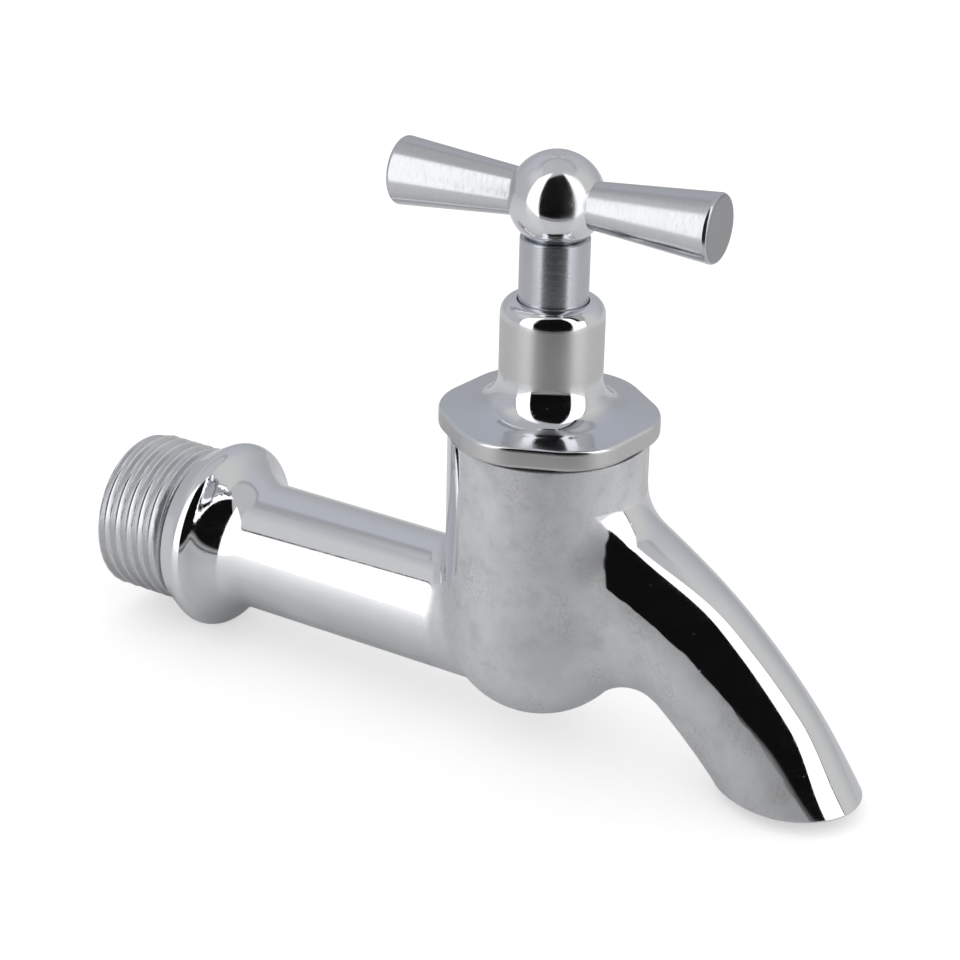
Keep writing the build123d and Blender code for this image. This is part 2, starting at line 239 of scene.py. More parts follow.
def spoutSkin(p):
    # Bent tube: height over the bend's circle and width across it make an ellipse, measured
    # against the radius at that distance along the bend. A ball closes it inside the chamber.
    dx, dz = p[:, 0] - bendX, p[:, 2] - bendZ
    reach = np.hypot(dx, dz)
    distance = casting["bend"] * (np.arctan2(dx, dz) - startDip)
    back = np.minimum(distance - casting["spoutRoot"], 0)
    width, height = spoutShares(distance)
    across, over = p[:, 1] / width, (reach - casting["bend"]) / height
    size = np.sqrt(across ** 2 + over ** 2 + back ** 2)
    steep, rise = across / width, over / height
    slope = np.sqrt(steep ** 2 + rise ** 2 + back ** 2) / np.maximum(size, tiny)
    nought = 0 * reach
    out = np.stack([dx / reach, nought, dz / reach], 1)
    along = np.stack([dz / reach, nought, -dx / reach], 1)
    away = out * rise[:, None] + np.stack([nought, steep, nought], 1) + along * back[:, None]
    return (size - spoutRadius(distance)) / np.maximum(slope, tiny), unit(away)


def rolled(p, first, second, radius):
    # The two skins with a ball rolled along their crease. The ball's centre is found by steps
    # towards the nearest place that is a radius from both skins, and the blend's distance
    # is the radius less the distance to that centre.
    steps, share = 14, 0.7  # how many steps, and how much of each is gone
    spread = 0.001  # the least that the two skins' directions count as apart
    slack = 0.05  # a skin touches the ball when it is this near its radius
    barred = -1000.0  # stands for a distance that can't be chosen
    a, awayA = first(p)
    b, awayB = second(p)
    distance = np.minimum(a, b)
    away = np.where((a < b)[:, None], awayA, awayB)
    near = np.where((np.abs(a) < radius) & (np.abs(b) < radius))[0]
    a, b, awayA, awayB, start = a[near], b[near], awayA[near], awayB[near], p[near]
    centre = start + 0.0
    for _ in range(steps):
        x, gx = first(centre)
        y, gy = second(centre)
        off = centre - start
        c = (gx * gy).sum(1)
        u = radius - x + (gx * off).sum(1)
        v = radius - y + (gy * off).sum(1)
        apart = np.maximum(1 - c * c, spread)
        wanted = start + ((u - c * v) / apart)[:, None] * gx + ((v - c * u) / apart)[:, None] * gy
        centre = centre + share * (wanted - centre)
    off = centre - start
    long = np.linalg.norm(off, axis=1)
    missed = np.maximum(np.abs(first(centre)[0] - radius), np.abs(second(centre)[0] - radius))
    clearA = second(start + awayA * (radius - a)[:, None])[0] >= radius
    clearB = first(start + awayB * (radius - b)[:, None])[0] >= radius
    choices = np.stack([np.where(clearA, a, barred), np.where(clearB, b, barred),
                        np.where(missed < slack, radius - long, barred)], 1)
    pick, best = choices.argmax(1), choices.max(1)
    ways = np.stack([awayA, awayB, off / np.maximum(long, tiny)[:, None]], 1)
    good = best > barred
    distance[near[good]] = best[good]
    away[near[good]] = ways[np.arange(len(near)), pick][good]
    return distance, away


def castingSkin(p):
    # Chamber and spout blended with the large round, inlet and chamber with the small one,
    # and whichever lies further out.
    f, g = rolled(p, chamberSkin, spoutSkin, casting["spoutBlend"])
    h, k = rolled(p, inletSkin, chamberSkin, casting["pipeBlend"])
    return np.minimum(f, h), np.where((h < f)[:, None], k, g)


def netOverSkin(skin, low, high, cell):
    # A net of quads over a skin: a knot in each cell of a block that the skin crosses, at the
    # mean of its edge crossings, and a quad round each edge of the block that crosses it.
    counts = np.ceil((np.array(high) - low) / cell).astype(int) + 1
    corners = np.stack(np.meshgrid(*[np.arange(n) for n in counts], indexing="ij"), 3)
    values = skin(corners.reshape(-1, 3) * cell + low)[0].reshape(counts)
    cells = counts - 1
    total, hits = np.zeros((cells.prod(), 3)), np.zeros(cells.prod())
    quads = []
    for axis in range(3):
        a = np.take(values, np.arange(counts[axis] - 1), axis)
        b = np.take(values, np.arange(1, counts[axis]), axis)
        edge = np.argwhere((a < 0) != (b < 0))
        u, v = (axis + 1) % 3, (axis + 2) % 3
        inside = (edge[:, u] > 0) & (edge[:, v] > 0) & (edge[:, u] < cells[u]) & (edge[:, v] < cells[v])
        edge = edge[inside]
        at = tuple(edge.T)
        crossing = edge.astype(float)
        crossing[:, axis] += a[at] / (a[at] - b[at])
        ring = []
        for du, dv in ((0, 0), (1, 0), (1, 1), (0, 1)):
            cellOf = edge.copy()
            cellOf[:, u] -= du
            cellOf[:, v] -= dv
            flat = np.ravel_multi_index(tuple(cellOf.T), cells)
            np.add.at(total, flat, crossing)
            np.add.at(hits, flat, 1)
            ring.append(flat)
        ring = np.stack(ring, 1)
        quads.append(np.where((a[at] < 0)[:, None], ring, ring[:, ::-1]))
    quads = np.vstack(quads)
    used, quads = np.unique(quads, return_inverse=True)
    return total[used] / hits[used][:, None] * cell + low, quads.reshape(-1, 4)


def settled(points, quads, skin, rounds):
    # Each point goes a share of the way to the mean of its neighbours, then back onto the skin
    # along the skin's own direction.
    share, returns = 0.5, 2
    ends = np.vstack([np.stack([quads[:, i], quads[:, (i + 1) % 4]], 1) for i in range(4)])
    ends = np.unique(np.sort(ends, 1), axis=0)
    count = np.bincount(ends.ravel(), minlength=len(points))[:, None]
    for _ in range(rounds):
        mean = np.zeros_like(points)
        np.add.at(mean, ends[:, 0], points[ends[:, 1]])
        np.add.at(mean, ends[:, 1], points[ends[:, 0]])
        points = points + share * (mean / count - points)
        for _ in range(returns):
            distance, away = skin(points)
            points = points - distance[:, None] * away
    return points


def cutNet(points, quads, cuts):
    # Cuts the net by planes: (place, normal, least x), each on the faces beyond that x only.
    # Gives back points and triangles.
    onPlane = 0.02  # a point this near a plane counts as on it
    net = bmesh.new()
    mesh = bpy.data.meshes.new("net")
    mesh.from_pydata(points.tolist(), [], quads.tolist())
    net.from_mesh(mesh)
    for place, normal, least in cuts:
        faces = [face for face in net.faces if face.calc_center_median().x > least]
        touched = set(faces) | {edge for face in faces for edge in face.edges}
        touched |= {corner for face in faces for corner in face.verts}
        bmesh.ops.bisect_plane(net, geom=list(touched), dist=onPlane, plane_co=place,
                               plane_no=normal, clear_outer=True)
    loose = [corner for corner in net.verts if not corner.link_faces]
    bmesh.ops.delete(net, geom=loose, context="VERTS")
    bmesh.ops.triangulate(net, faces=net.faces[:])
    net.to_mesh(mesh)
    net.free()
    made = np.zeros(len(mesh.vertices) * 3)
    mesh.vertices.foreach_get("co", made)
    triangles = np.zeros(len(mesh.loops), int)
    mesh.loops.foreach_get("vertex_index", triangles)
    bpy.data.meshes.remove(mesh)
    return made.reshape(-1, 3), triangles.reshape(-1, 3)


def rimOf(points, place, normal, side):
    # Indices of the points on a cut, in order of their angle round the cut's middle, and
    # that angle measured from the side direction. The cut's own points are near its plane
    # and no further than reach from its middle.
    near, reach = 0.03, 14
    off = points - place
    on = np.where((np.abs(off @ normal) < near) & (np.linalg.norm(off, axis=1) < reach))[0]
    over = np.cross(normal, side)
    angle = np.arctan2(off[on] @ over, off[on] @ side)
    order = np.argsort(angle)
    return on[order], angle[order]


def spoutPlace(distance):
    # Middle of the spout at a distance along its bend, and the direction up its back.
    dip = startDip + distance / casting["bend"]
    middle = np.array([bendX + casting["bend"] * sin(dip), 0, bendZ + casting["bend"] * cos(dip)])
    return middle, np.array([sin(dip), 0, cos(dip)])


def makeCasting():
    # The net over the blended skin, cut at the wall seat, the chamber's top and the mouth. From
    # each rim, rings of points go on inwards and down its bore, and a point closes them.
    c = casting
    points, quads = netOverSkin(castingSkin, c["blockLow"], c["blockHigh"], c["cell"])
    points = settled(points, quads, castingSkin, c["rounds"])
    tilt = radians(c["mouthTilt"])
    xAxis, yAxis, up = np.eye(3)
    back, down = np.array([-1.0, 0, 0]), np.array([sin(tilt), 0, -cos(tilt)])
    seat, top = np.zeros(3), np.array([valveX, 0, c["top"]])
    mouth = np.array([valveX + c["mouthX"], 0, c["mouthZ"]])
    # each cut lies inside its face by the size of the soft edge that leads out to the face
    everywhere, pastPipe, pastChamber = -99, 30, valveX + 20
    cuts = [(seat - back * c["seatEdge"], back, everywhere), (top - up * c["topEdge"], up, pastPipe),
            (mouth - down * c["mouthEdge"], down, pastChamber)]
    points, triangles = cutNet(points, quads, cuts)
    allPoints, allNormals, allFaces = [points], [castingSkin(points)[1]], [triangles]
    count = len(points)
    edgeAngles = np.linspace(0.3, pi / 2, 5)

    def closeRim(place, normal, side, size, further, pole):
        # From a cut's rim, a soft edge leads out to the face at the place: in by size (1 - cos t)
        # and out by size sin t. Then come the rings that further(angle) gives, and the pole.
        nonlocal count
        cut = place - normal * size
        rim, angle = rimOf(points, cut, normal, side)
        start = points[rim]
        inward = unit(cut - start)
        edge = [start + inward * size * (1 - cos(t)) + normal * size * sin(t) for t in edgeAngles]
        rows = np.array([start, *edge, *further(angle), np.repeat(pole[None], len(rim), 0)])
        across = np.roll(rows, -1, 1) - np.roll(rows, 1, 1)
        ways = unit(np.cross(across, np.gradient(rows, axis=0)))
        ways[-1] = unit(ways[-2].mean(0))
        last = count + (len(rows) - 2) * len(rim)
        index = np.vstack([rim[None], np.arange(count, last).reshape(-1, len(rim))])
        faces = quadsBetween(index)
        faces = np.vstack([faces[:, [0, 1, 2]], faces[:, [0, 2, 3]], fanTo(index[-1], last)])
        # the rim's own direction says which way round the new faces go
        if (np.cross(across[1], rows[2] - rows[0]) * normal).sum() < 0:
            faces, ways = faces[:, ::-1], -ways
        allPoints.append(np.vstack([rows[1:-1].reshape(-1, 3), pole[None]]))
        allNormals.append(np.vstack([ways[1:-1].reshape(-1, 3), ways[-1, :1]]))
        allFaces.append(faces)
        count = last + 1

    def straight(place, normal, side, corners):
        # Rings round a straight bore, depth measured down the bore: all but the first and last
        # of the outline's points, which only say where the line comes from and goes to
        def rings(angle):
            spokes = spokesOf(angle, side, np.cross(normal, side))
            return [place + radius * spokes - depth * normal for radius, depth in outline(corners, 2)[1:-1]]
        return rings

    # Corners (radius, depth, size of their soft edge), with a point before the first and one
    # after the last
    edge, deep = c["inletEdge"], c["inletDepth"]
    inlet = [(c["chamber"], 0, 0), (c["inletBore"], 0, edge)]
    inlet += [(c["inletBore"], depth, 0) for depth in c["inletRings"]]
    inlet += [(c["inletBore"], deep, edge), (0, deep, 0)]
    closeRim(seat, back, yAxis, c["seatEdge"], straight(seat, back, yAxis, inlet), seat + xAxis * deep)
    # down the socket and the chamber, over the seat's ring and down its bore
    edge = c["boreEdge"]
    socketFoot, chamberFoot, seatTop, seatFoot = (
        c["top"] - c[key] for key in ("socketFoot", "chamberFoot", "seatTop", "seatFoot"))
    well = [(c["chamber"], 0, 0), (c["socket"], 0, edge), (c["socket"], socketFoot, edge),
            (c["chamberBore"], socketFoot, 0), (c["chamberBore"], chamberFoot, edge),
            (c["seatRing"], chamberFoot, edge), (c["seatRing"], seatTop, edge),
            (c["seatBore"], seatTop, edge), (c["seatBore"], seatFoot, edge), (0, seatFoot, 0)]
    closeRim(top, up, xAxis, c["topEdge"], straight(top, up, xAxis, well), top - up * seatFoot)

    def boreRing(angle, place, over, wall):
        # On a plane through a place: along each spoke, the length at which the spout's skin
        # is a wall away, found by halving.
        longest, halvings = 14.0, 30
        spokes = spokesOf(angle, yAxis, over)
        low, high = np.zeros(len(angle)), np.full(len(angle), longest)
        for _ in range(halvings):
            half = (low + high) / 2
            inside = spoutSkin(place + half[:, None] * spokes)[0] < -wall
            low, high = np.where(inside, half, low), np.where(inside, high, half)
        return place + low[:, None] * spokes

    def mouthRings(angle):
        over = np.cross(down, yAxis)
        rings = [boreRing(angle, mouth - down * depth, over, c["wall"] - inset)
                 for inset, depth in c["mouthSoft"]]
        for distance in c["mouthRings"]:
            middle, rise = spoutPlace(distance)
            rings.append(boreRing(angle, middle, rise * np.sign(over @ rise), c["wall"]))
        return rings + [middle + (rings[-1] - middle) * c["lastRing"]]

    closeRim(mouth, down, yAxis, c["mouthEdge"], mouthRings, spoutPlace(c["mouthRings"][-1])[0])
    return np.vstack(allPoints), np.vstack(allFaces).tolist(), np.vstack(allNormals)


tapCasting = newPiece("tapCasting", *makeCasting(), "tap", "chrome_casting", ["tap_body"])


# Inlet thread: a half inch pipe thread cut on a sleeve, with the bore through it
thread = {"end": -11.3, "start": 0.6, "crest": 10.4775, "root": 9.55, "pitch": 1.8143,
          "rounding": 0.45, "lean": 3.0, "leadIn": 0.55, "endRadius": 10.1, "relief": 1.12,
          "reliefRadius": 8.9, "reliefSlope": 3.0, "faceEdge": (0.04, 0.12, 0.3), "faceFoot": 9.5,
          "bore": 6.1, "boreEdge": 0.35, "innerRadius": 8.6, "segments": 144, "rows": 190}


def makeThread():
    # Radius = root + (crest - root) wave(x / pitch - angle / 2 pi). The wave is a triangle with
    # part of a cosine mixed in, which rounds its crest and root, raised to the power "lean",
    # which makes the root wider than the crest. The lead-in and the relief by the collar hold
    # the radius down. End face, bore and inner face close the sleeve.
    t = thread
    x = np.linspace(t["start"], t["end"], t["rows"])[:, None]
    angle = circle(t["segments"])[None]
    phase = (x / t["pitch"] - angle / (2 * pi)) % 1
    triangle = 1 - np.abs(2 * phase - 1)
    wave = (1 - t["rounding"]) * triangle + t["rounding"] * (0.5 - 0.5 * np.cos(pi * triangle))
    radius = t["root"] + (t["crest"] - t["root"]) * wave ** t["lean"]
    lead = t["endRadius"] + (t["crest"] - t["endRadius"]) * np.clip((x - t["end"]) / t["leadIn"], 0, 1)
    relief = t["reliefRadius"] + t["reliefSlope"] * np.maximum(-x - t["relief"], 0)
    radius = np.minimum(np.minimum(radius, lead), relief)

    def turnedRows(along, size):
        # Circles round the X axis at a place along it
        size = size + 0 * angle
        return np.stack([along + 0 * size, size * np.cos(angle), size * np.sin(angle)], 2)

    face = radius[-1] - np.array(t["faceEdge"])[:, None]
    inner = outline([(t["end"], t["faceFoot"], 0), (t["end"], t["bore"] + t["boreEdge"], 0.12),
                     (t["end"] + t["boreEdge"], t["bore"], 0.12), (t["start"], t["bore"], 0.1),
                     (t["start"], t["innerRadius"], 0)], 5)
    rows = [turnedRows(x, radius), turnedRows(t["end"], face), turnedRows(inner[:, :1], inner[:, 1:])]
    return gridShape(np.concatenate(rows), loop=True)


inletThread = newPiece("inletThread", *makeThread(), "tap", "chrome_casting")


# Bonnet: skirt in the socket, rounded hexagonal plate, neck round the stem
bonnet = {"plateFoot": 27.8, "plateTop": 30.4, "flats": 12.7, "cornerRound": 8.3, "turn": -6.7,
          "edgeTop": 0.55, "edgeFoot": 0.5, "neck": 6.27, "neckTop": 44.4, "shoulder": 1.8,
          "foot": 4.2, "rise": 0.15, "riseFrom": 12.2, "slopeTo": 11.4, "bore": 4.25, "boreEdge": 0.22,
          "screwBore": 5.6, "screwTop": 31.3, "screwEdge": 0.2, "skirt": 9.95, "skirtFoot": 18.8,
          "skirtEdge": 0.5, "faceFrom": 8.75, "faceTo": 8.95, "plateUnder": 11.25, "edge": 0.1,
          "segments": 216}


def hexagonAt(angle):
    # Radius and edge normal of a hexagon with rounded corners at an angle: a flat while
    # its foot is nearer than the round's start, or else the far crossing with the corner's circle.
    b = bonnet
    turn = radians(b["turn"])
    local = (angle - turn + pi / 6) % (pi / 3) - pi / 6
    flat = np.arctan2((b["flats"] - b["cornerRound"]) * tan(pi / 6), b["flats"])
    reach = (b["flats"] - b["cornerRound"]) / cos(pi / 6)
    lean = pi / 6 - np.abs(local)
    radius = np.where(np.abs(local) < flat, b["flats"] / np.cos(local),
                      reach * np.cos(lean) + np.sqrt(b["cornerRound"] ** 2 - (reach * np.sin(lean)) ** 2))
    place = np.stack([radius * np.cos(angle), radius * np.sin(angle)], 1)
    corner = angle - local + np.sign(local) * pi / 6
    centre = reach * np.stack([np.cos(corner), np.sin(corner)], 1)
    normal = np.where((np.abs(local) < flat)[:, None],
                      np.stack([np.cos(angle - local), np.sin(angle - local)], 1),
                      (place - centre) / b["cornerRound"])
    return place, normal


def makeBonnet():
    # Rings (radius, height) up the bore, over the neck and down the plate's slight slope, then the
    # hexagon's outline moved in along its normal for the two soft edges, and the skirt.
    b = bonnet
    angle = circle(b["segments"])

    def ring(radius, height):
        return np.stack([radius * np.cos(angle), radius * np.sin(angle), height + 0 * angle], 1)

    def plateAt(radius):
        return b["plateTop"] + b["rise"] * (b["riseFrom"] - radius)

    inside = outline([(b["faceFrom"], b["skirtFoot"], 0), (b["screwBore"], b["skirtFoot"], b["screwEdge"]),
                      (b["screwBore"], b["screwTop"], b["screwEdge"]), (b["bore"], b["screwTop"], b["edge"]),
                      (b["bore"], b["neckTop"], b["boreEdge"]), (b["neck"], b["neckTop"], b["shoulder"]),
                      (b["neck"], plateAt(b["neck"]), b["foot"]),
                      (b["slopeTo"], plateAt(b["slopeTo"]), 0)], 14)
    rings = [ring(*corner) for corner in inside]
    place, normal = hexagonAt(angle)
    t = np.linspace(0, pi / 2, 8)
    soft = [(b["edgeTop"] * (1 - sin(s)), b["plateTop"] - b["edgeTop"] * (1 - cos(s))) for s in t]
    soft += [(b["edgeFoot"] * (1 - cos(s)), b["plateFoot"] + b["edgeFoot"] * (1 - sin(s))) for s in t]
    rings += [np.column_stack([place - normal * inset, height + 0 * angle]) for inset, height in soft]
    skirt = outline([(b["plateUnder"], b["plateFoot"], 0), (b["skirt"], b["plateFoot"], b["edge"]),
                     (b["skirt"], b["skirtFoot"], b["skirtEdge"]), (b["faceTo"], b["skirtFoot"], 0)], 6)
    rings += [ring(*corner) for corner in skirt]
    return gridShape(np.array(rings) + (valveX, 0, 0), loop=True)


bonnetShell = newPiece("bonnetShell", *makeBonnet(), "tap", "chrome_turned", ["bonnet"])


# Gasket: a thin ring between the chamber's top and the plate, set back a little from both
gasket = {"inner": 10.05, "outer": 11.75, "foot": 27.3, "top": 27.8, "bulge": 0.12, "flatTo": 11.45,
          "edgeIn": 0.1, "edgeUp": 0.05, "segments": 144}


def makeGasket():
    # The section's outer side is bowed: outer + bulge cos(pi t), t from -1/2 to 1/2 up its height.
    g = gasket
    t = np.linspace(-0.5, 0.5, 9)
    heights = (g["foot"] + g["top"]) / 2 + (g["top"] - g["foot"]) * t
    bow = np.stack([g["outer"] + g["bulge"] * np.cos(pi * t), heights], 1)
    inner = np.array([(g["flatTo"], g["top"]), (g["inner"] + g["edgeIn"], g["top"]),
                      (g["inner"], g["top"] - g["edgeUp"]), (g["inner"], g["foot"] + g["edgeUp"]),
                      (g["inner"] + g["edgeIn"], g["foot"]), (g["flatTo"], g["foot"])])
    return gridShape(revolved(np.vstack([bow, inner]), g["segments"], (valveX, 0, 0)), loop=True)


gasketRing = newPiece("gasketRing", *makeGasket(), "tap", "fibre", ["bonnet_gasket"])


# Stem: the rising spindle with its screw, seal grooves and the tenon inside the ball
stem = {"foot": 14.6, "screw": 5.55, "screwTop": 27.2, "screwEdge": 0.4, "radius": 4.18,
        "shoulder": 52.2, "rim": 0.22, "groove": 2.85, "grooves": (33.0, 38.0), "grooveHalf": 0.95,
        "hole": 2.5, "holeTop": 23.9, "edge": 0.1, "tenon": 2.9, "tenonFoot": 0.05, "top": 59.4,
        "topEdge": 0.2, "segments": 128}


def makeStem():
    # Corners (radius, height, round) from the hole's end, round the screw and up to the top
    s = stem
    edge = s["edge"]
    line = [(0, s["holeTop"], 0), (s["hole"], s["holeTop"], edge), (s["hole"], s["foot"], edge),
            (s["screw"], s["foot"], s["screwEdge"]), (s["screw"], s["screwTop"], s["screwEdge"]),
            (s["radius"], s["screwTop"], edge)]
    for height in s["grooves"]:
        low, high = height - s["grooveHalf"], height + s["grooveHalf"]
        line += [(s["radius"], low, edge), (s["groove"], low, edge),
                 (s["groove"], high, edge), (s["radius"], high, edge)]
    line += [(s["radius"], s["shoulder"], s["rim"]), (s["tenon"], s["shoulder"], s["tenonFoot"]),
             (s["tenon"], s["top"], s["topEdge"]), (0, s["top"], 0)]
    return gridShape(revolved(outline(line, 7), s["segments"], (valveX, 0, 0)))


stemTurned = newPiece("stemTurned", *makeStem(), "handle", "satin_stem", ["spindle"])


# Ball: the hub, flat on the stem's shoulder, with the spindle's riveted end showing on top
ball = {"radius": 5.74, "seat": -4.53, "seatEdge": ((0.15, 0), (0.04, 0.01)), "endRadius": 1.55,
        "ringWidth": 0.12, "ringDepth": 0.05, "endRise": 0.02, "endDome": 0.05, "segments": 160}


def makeBall():
    # Circle from the seat to the top: (R cos a, R sin a), then a shallow ring that dips by
    # depth sin(pi t), and a low dome that falls off as 1 - (r / end radius) squared.
    b = ball
    low = np.arcsin(b["seat"] / b["radius"])
    high = np.arccos((b["endRadius"] + b["ringWidth"]) / b["radius"])
    a = np.linspace(low, high, 72)
    sphere = np.stack([b["radius"] * np.cos(a), b["radius"] * np.sin(a)], 1)
    top = sphere[-1, 1]
    foot = [(0, b["seat"])] + [(sphere[0, 0] - inset, b["seat"] + rise) for inset, rise in b["seatEdge"]]
    t = np.linspace(0, 1, 7)[1:]
    ring = np.stack([b["endRadius"] + b["ringWidth"] * (1 - t),
                     top - b["ringDepth"] * np.sin(pi * t) + b["endRise"] * t], 1)
    r = np.linspace(b["endRadius"] - 0.05, 0, 12)
    end = np.stack([r, top + b["endRise"] + b["endDome"] * (1 - (r / b["endRadius"]) ** 2)], 1)
    line = np.vstack([foot, sphere, ring, end])
    return gridShape(revolved(line, b["segments"], (valveX, 0, ballZ)))


ballHub = newPiece("ballHub", *makeBall(), "handle", "chrome_turned", ["handle_hub"])


# Arms: turned cones that widen outwards, with a rounded edge and a shallow dish in their ends
arm = {"inner": 4.75, "innerRadius": 2.82, "innerEdge": 0.1, "outer": 20.55, "outerRadius": 4.2,
       "edge": 0.55, "dish": ((3.0, 0.01), (1.5, 0.028), (0, 0.04)), "angle": 4.6, "segments": 144}


def makeArm(side):
    # Corners (radius, distance out, round) along the arm's own heading, revolved round it
    a = arm
    heading = np.array([cos(radians(a["angle"])), sin(radians(a["angle"])), 0]) * side
    line = [(0, a["inner"], 0), (a["innerRadius"], a["inner"], a["innerEdge"]),
            (a["outerRadius"], a["outer"], a["edge"])]
    line += [(radius, a["outer"] - depth, 0) for radius, depth in a["dish"]]
    return gridShape(revolved(outline(line, 7), a["segments"], (valveX, 0, ballZ), heading))


frontArm = newPiece("frontArm", *makeArm(1), "handle", "turned_arms", ["front_arm"])
rearArm = newPiece("rearArm", *makeArm(-1), "handle", "turned_arms", ["rear_arm"])


class Flow:
    # A socket to reckon with. Arithmetic on it adds Math nodes to its tree.
    def __init__(self, tree, socket=None):
        self.tree, self.socket = tree, socket

    def node(self, kind, settings=None, sockets=None, out=0):
        # Any node: settings go in first, a ramp's stops among them, then values or links.
        made = self.tree.nodes.new(kind)
        for key, value in (settings or {}).items():
            if key == "stops":
                ramp = made.color_ramp
                while len(ramp.elements) < len(value):
                    ramp.elements.new(0.5)
                for element, (place, colour) in zip(ramp.elements, value):
                    element.position, element.color = place, colour
            else:
                setattr(made, key, value)
        for key, value in (sockets or {}).items():
            if isinstance(value, Flow):
                self.tree.links.new(value.socket, made.inputs[key])
            else:
                made.inputs[key].default_value = value
        return Flow(self.tree, made.outputs[out])

    def math(self, operation, *values):
        return self.node("ShaderNodeMath", {"operation": operation}, dict(enumerate(values)))

    def __add__(self, other):
        return self.math("ADD", self, other)

    __radd__ = __add__

    def __sub__(self, other):
        return self.math("SUBTRACT", self, other)

    def __rsub__(self, other):
        return self.math("SUBTRACT", other, self)

    def __mul__(self, other):
        return self.math("MULTIPLY", self, other)

    __rmul__ = __mul__

    def __pow__(self, other):
        return self.math("POWER", self, other)

    def part(self, key):
        # X, Y or Z of this vector
        return self.node("ShaderNodeSeparateXYZ", {}, {0: self}, key)

    def towards(self, way):
        # How far this vector goes along a fixed direction
        return self.node("ShaderNodeVectorMath", {"operation": "DOT_PRODUCT"},
                         {0: self, 1: way.tolist()}, "Value")

    def step(self, low, high):
        # 0 below low, 1 above high, eased between
        return self.node("ShaderNodeMapRange", {"interpolation_type": "SMOOTHSTEP"},
                         {"Value": self, "From Min": low, "From Max": high})

    def cells(self, size, centre=(0, 0, 0), turn=(0, 0, 0)):
        # Coordinates in cells of a given size in metres, from a centre, turned
        return self.node("ShaderNodeMapping", {"vector_type": "TEXTURE"},
                         {"Vector": self, "Location": centre, "Rotation": turn, "Scale": size})

    def noise(self, size, detail=2.0, rough=0.5, centre=(0, 0, 0), turn=(0, 0, 0)):
        if not isinstance(size, tuple):
            size = (size,) * 3
        return self.node("ShaderNodeTexNoise", {}, {"Vector": self.cells(size, centre, turn), "Scale": 1.0,
                                                    "Detail": detail, "Roughness": rough}, "Fac")

    def specks(self, size, share):
        # Small dots: 1 in the middle of a cell, 0 from a share of its size outwards
        near = self.node("ShaderNodeTexVoronoi", {"feature": "F1"},
                         {"Vector": self.cells((size,) * 3), "Scale": 1.0}, "Distance")
        return 1 - near.step(share * 0.5, share)

    def scratches(self, turn, seed):
        # Hairlines: the crests of a noise stretched far in two directions
        width, length, crest, soft = 0.00005, 0.007, 0.66, 0.05
        lines = self.noise((width, length, length), 1.0, 0.5, (seed, seed, 0), turn)
        return lines.step(crest, crest + soft)

    def mixed(self, *ends):
        # Colour from the first to the second by this factor. Each is three numbers or a Flow.
        first, second = (end if isinstance(end, Flow) else (*end, 1) for end in ends)
        return self.node("ShaderNodeMix", {"data_type": "RGBA"}, {0: self, 6: first, 7: second}, 2)


def newMaterial(name, constants):
    made = bpy.data.materials.new(name)
    made.use_nodes = True
    tree = made.node_tree
    shader = tree.nodes["Principled BSDF"]
    for key, value in constants.items():
        shader.inputs[key].default_value = value
    return made, Flow(tree).node("ShaderNodeTexCoord", out="Object"), shader


def finishMaterial(made, shader, colour, roughness, height):
    # Height is in metres, so a bump is as tall as its numbers say
    bump = height.node("ShaderNodeBump", {}, {"Height": height, "Distance": 1.0, "Strength": 1.0})
    for flow, key in ((colour, "Base Color"), (roughness, "Roughness"), (bump, "Normal")):
        made.node_tree.links.new(flow.socket, shader.inputs[key])
    return made


# What the cast and the turned pieces' chrome share: sizes and heights in metres, the
# hairlines' turns and seeds, and how much a hairline and a dot roughen it.
chrome = {"colour": (0.80, 0.81, 0.83), "film": (0.42, 0.72), "grainSize": 0.0006, "grain": 1.5e-7,
          "hairs": (((0.4, 0.3, 0.9), 0.01), ((1.2, 0.1, 2.3), 0.03), ((0.2, 1.4, 0.5), 0.07)),
          "dotCell": 0.0016, "dotShare": 0.10, "dotGroups": 0.004, "dotMost": (0.5, 0.62),
          "dotDepth": 4e-6, "hairRough": 0.05, "dotRough": 0.2}


def polishedChrome(name, look):
    # Mirror chrome over metal that isn't quite even: slow swells, a cloudy film, hairlines, specks
    made, at, shader = newMaterial(name, {"Metallic": 1.0})
    film = at.noise(look["filmSize"], 4.0, 0.55).step(*look["film"])
    first, second, third = (at.scratches(turn, seed) for turn, seed in look["hairs"])
    hair = first + second + third
    groups = at.noise(look["dotGroups"], 1.0).step(*look["dotMost"])
    dots = at.specks(look["dotCell"], look["dotShare"]) * groups
    height = at.noise(look["swellSize"], 1.0) * look["swell"]
    height = height + at.noise(look["grainSize"], 2.0) * look["grain"]
    height = height - hair * look["hairDepth"] - dots * look["dotDepth"]
    return made, at, shader, film, hair * look["hairRough"] + dots * look["dotRough"], height


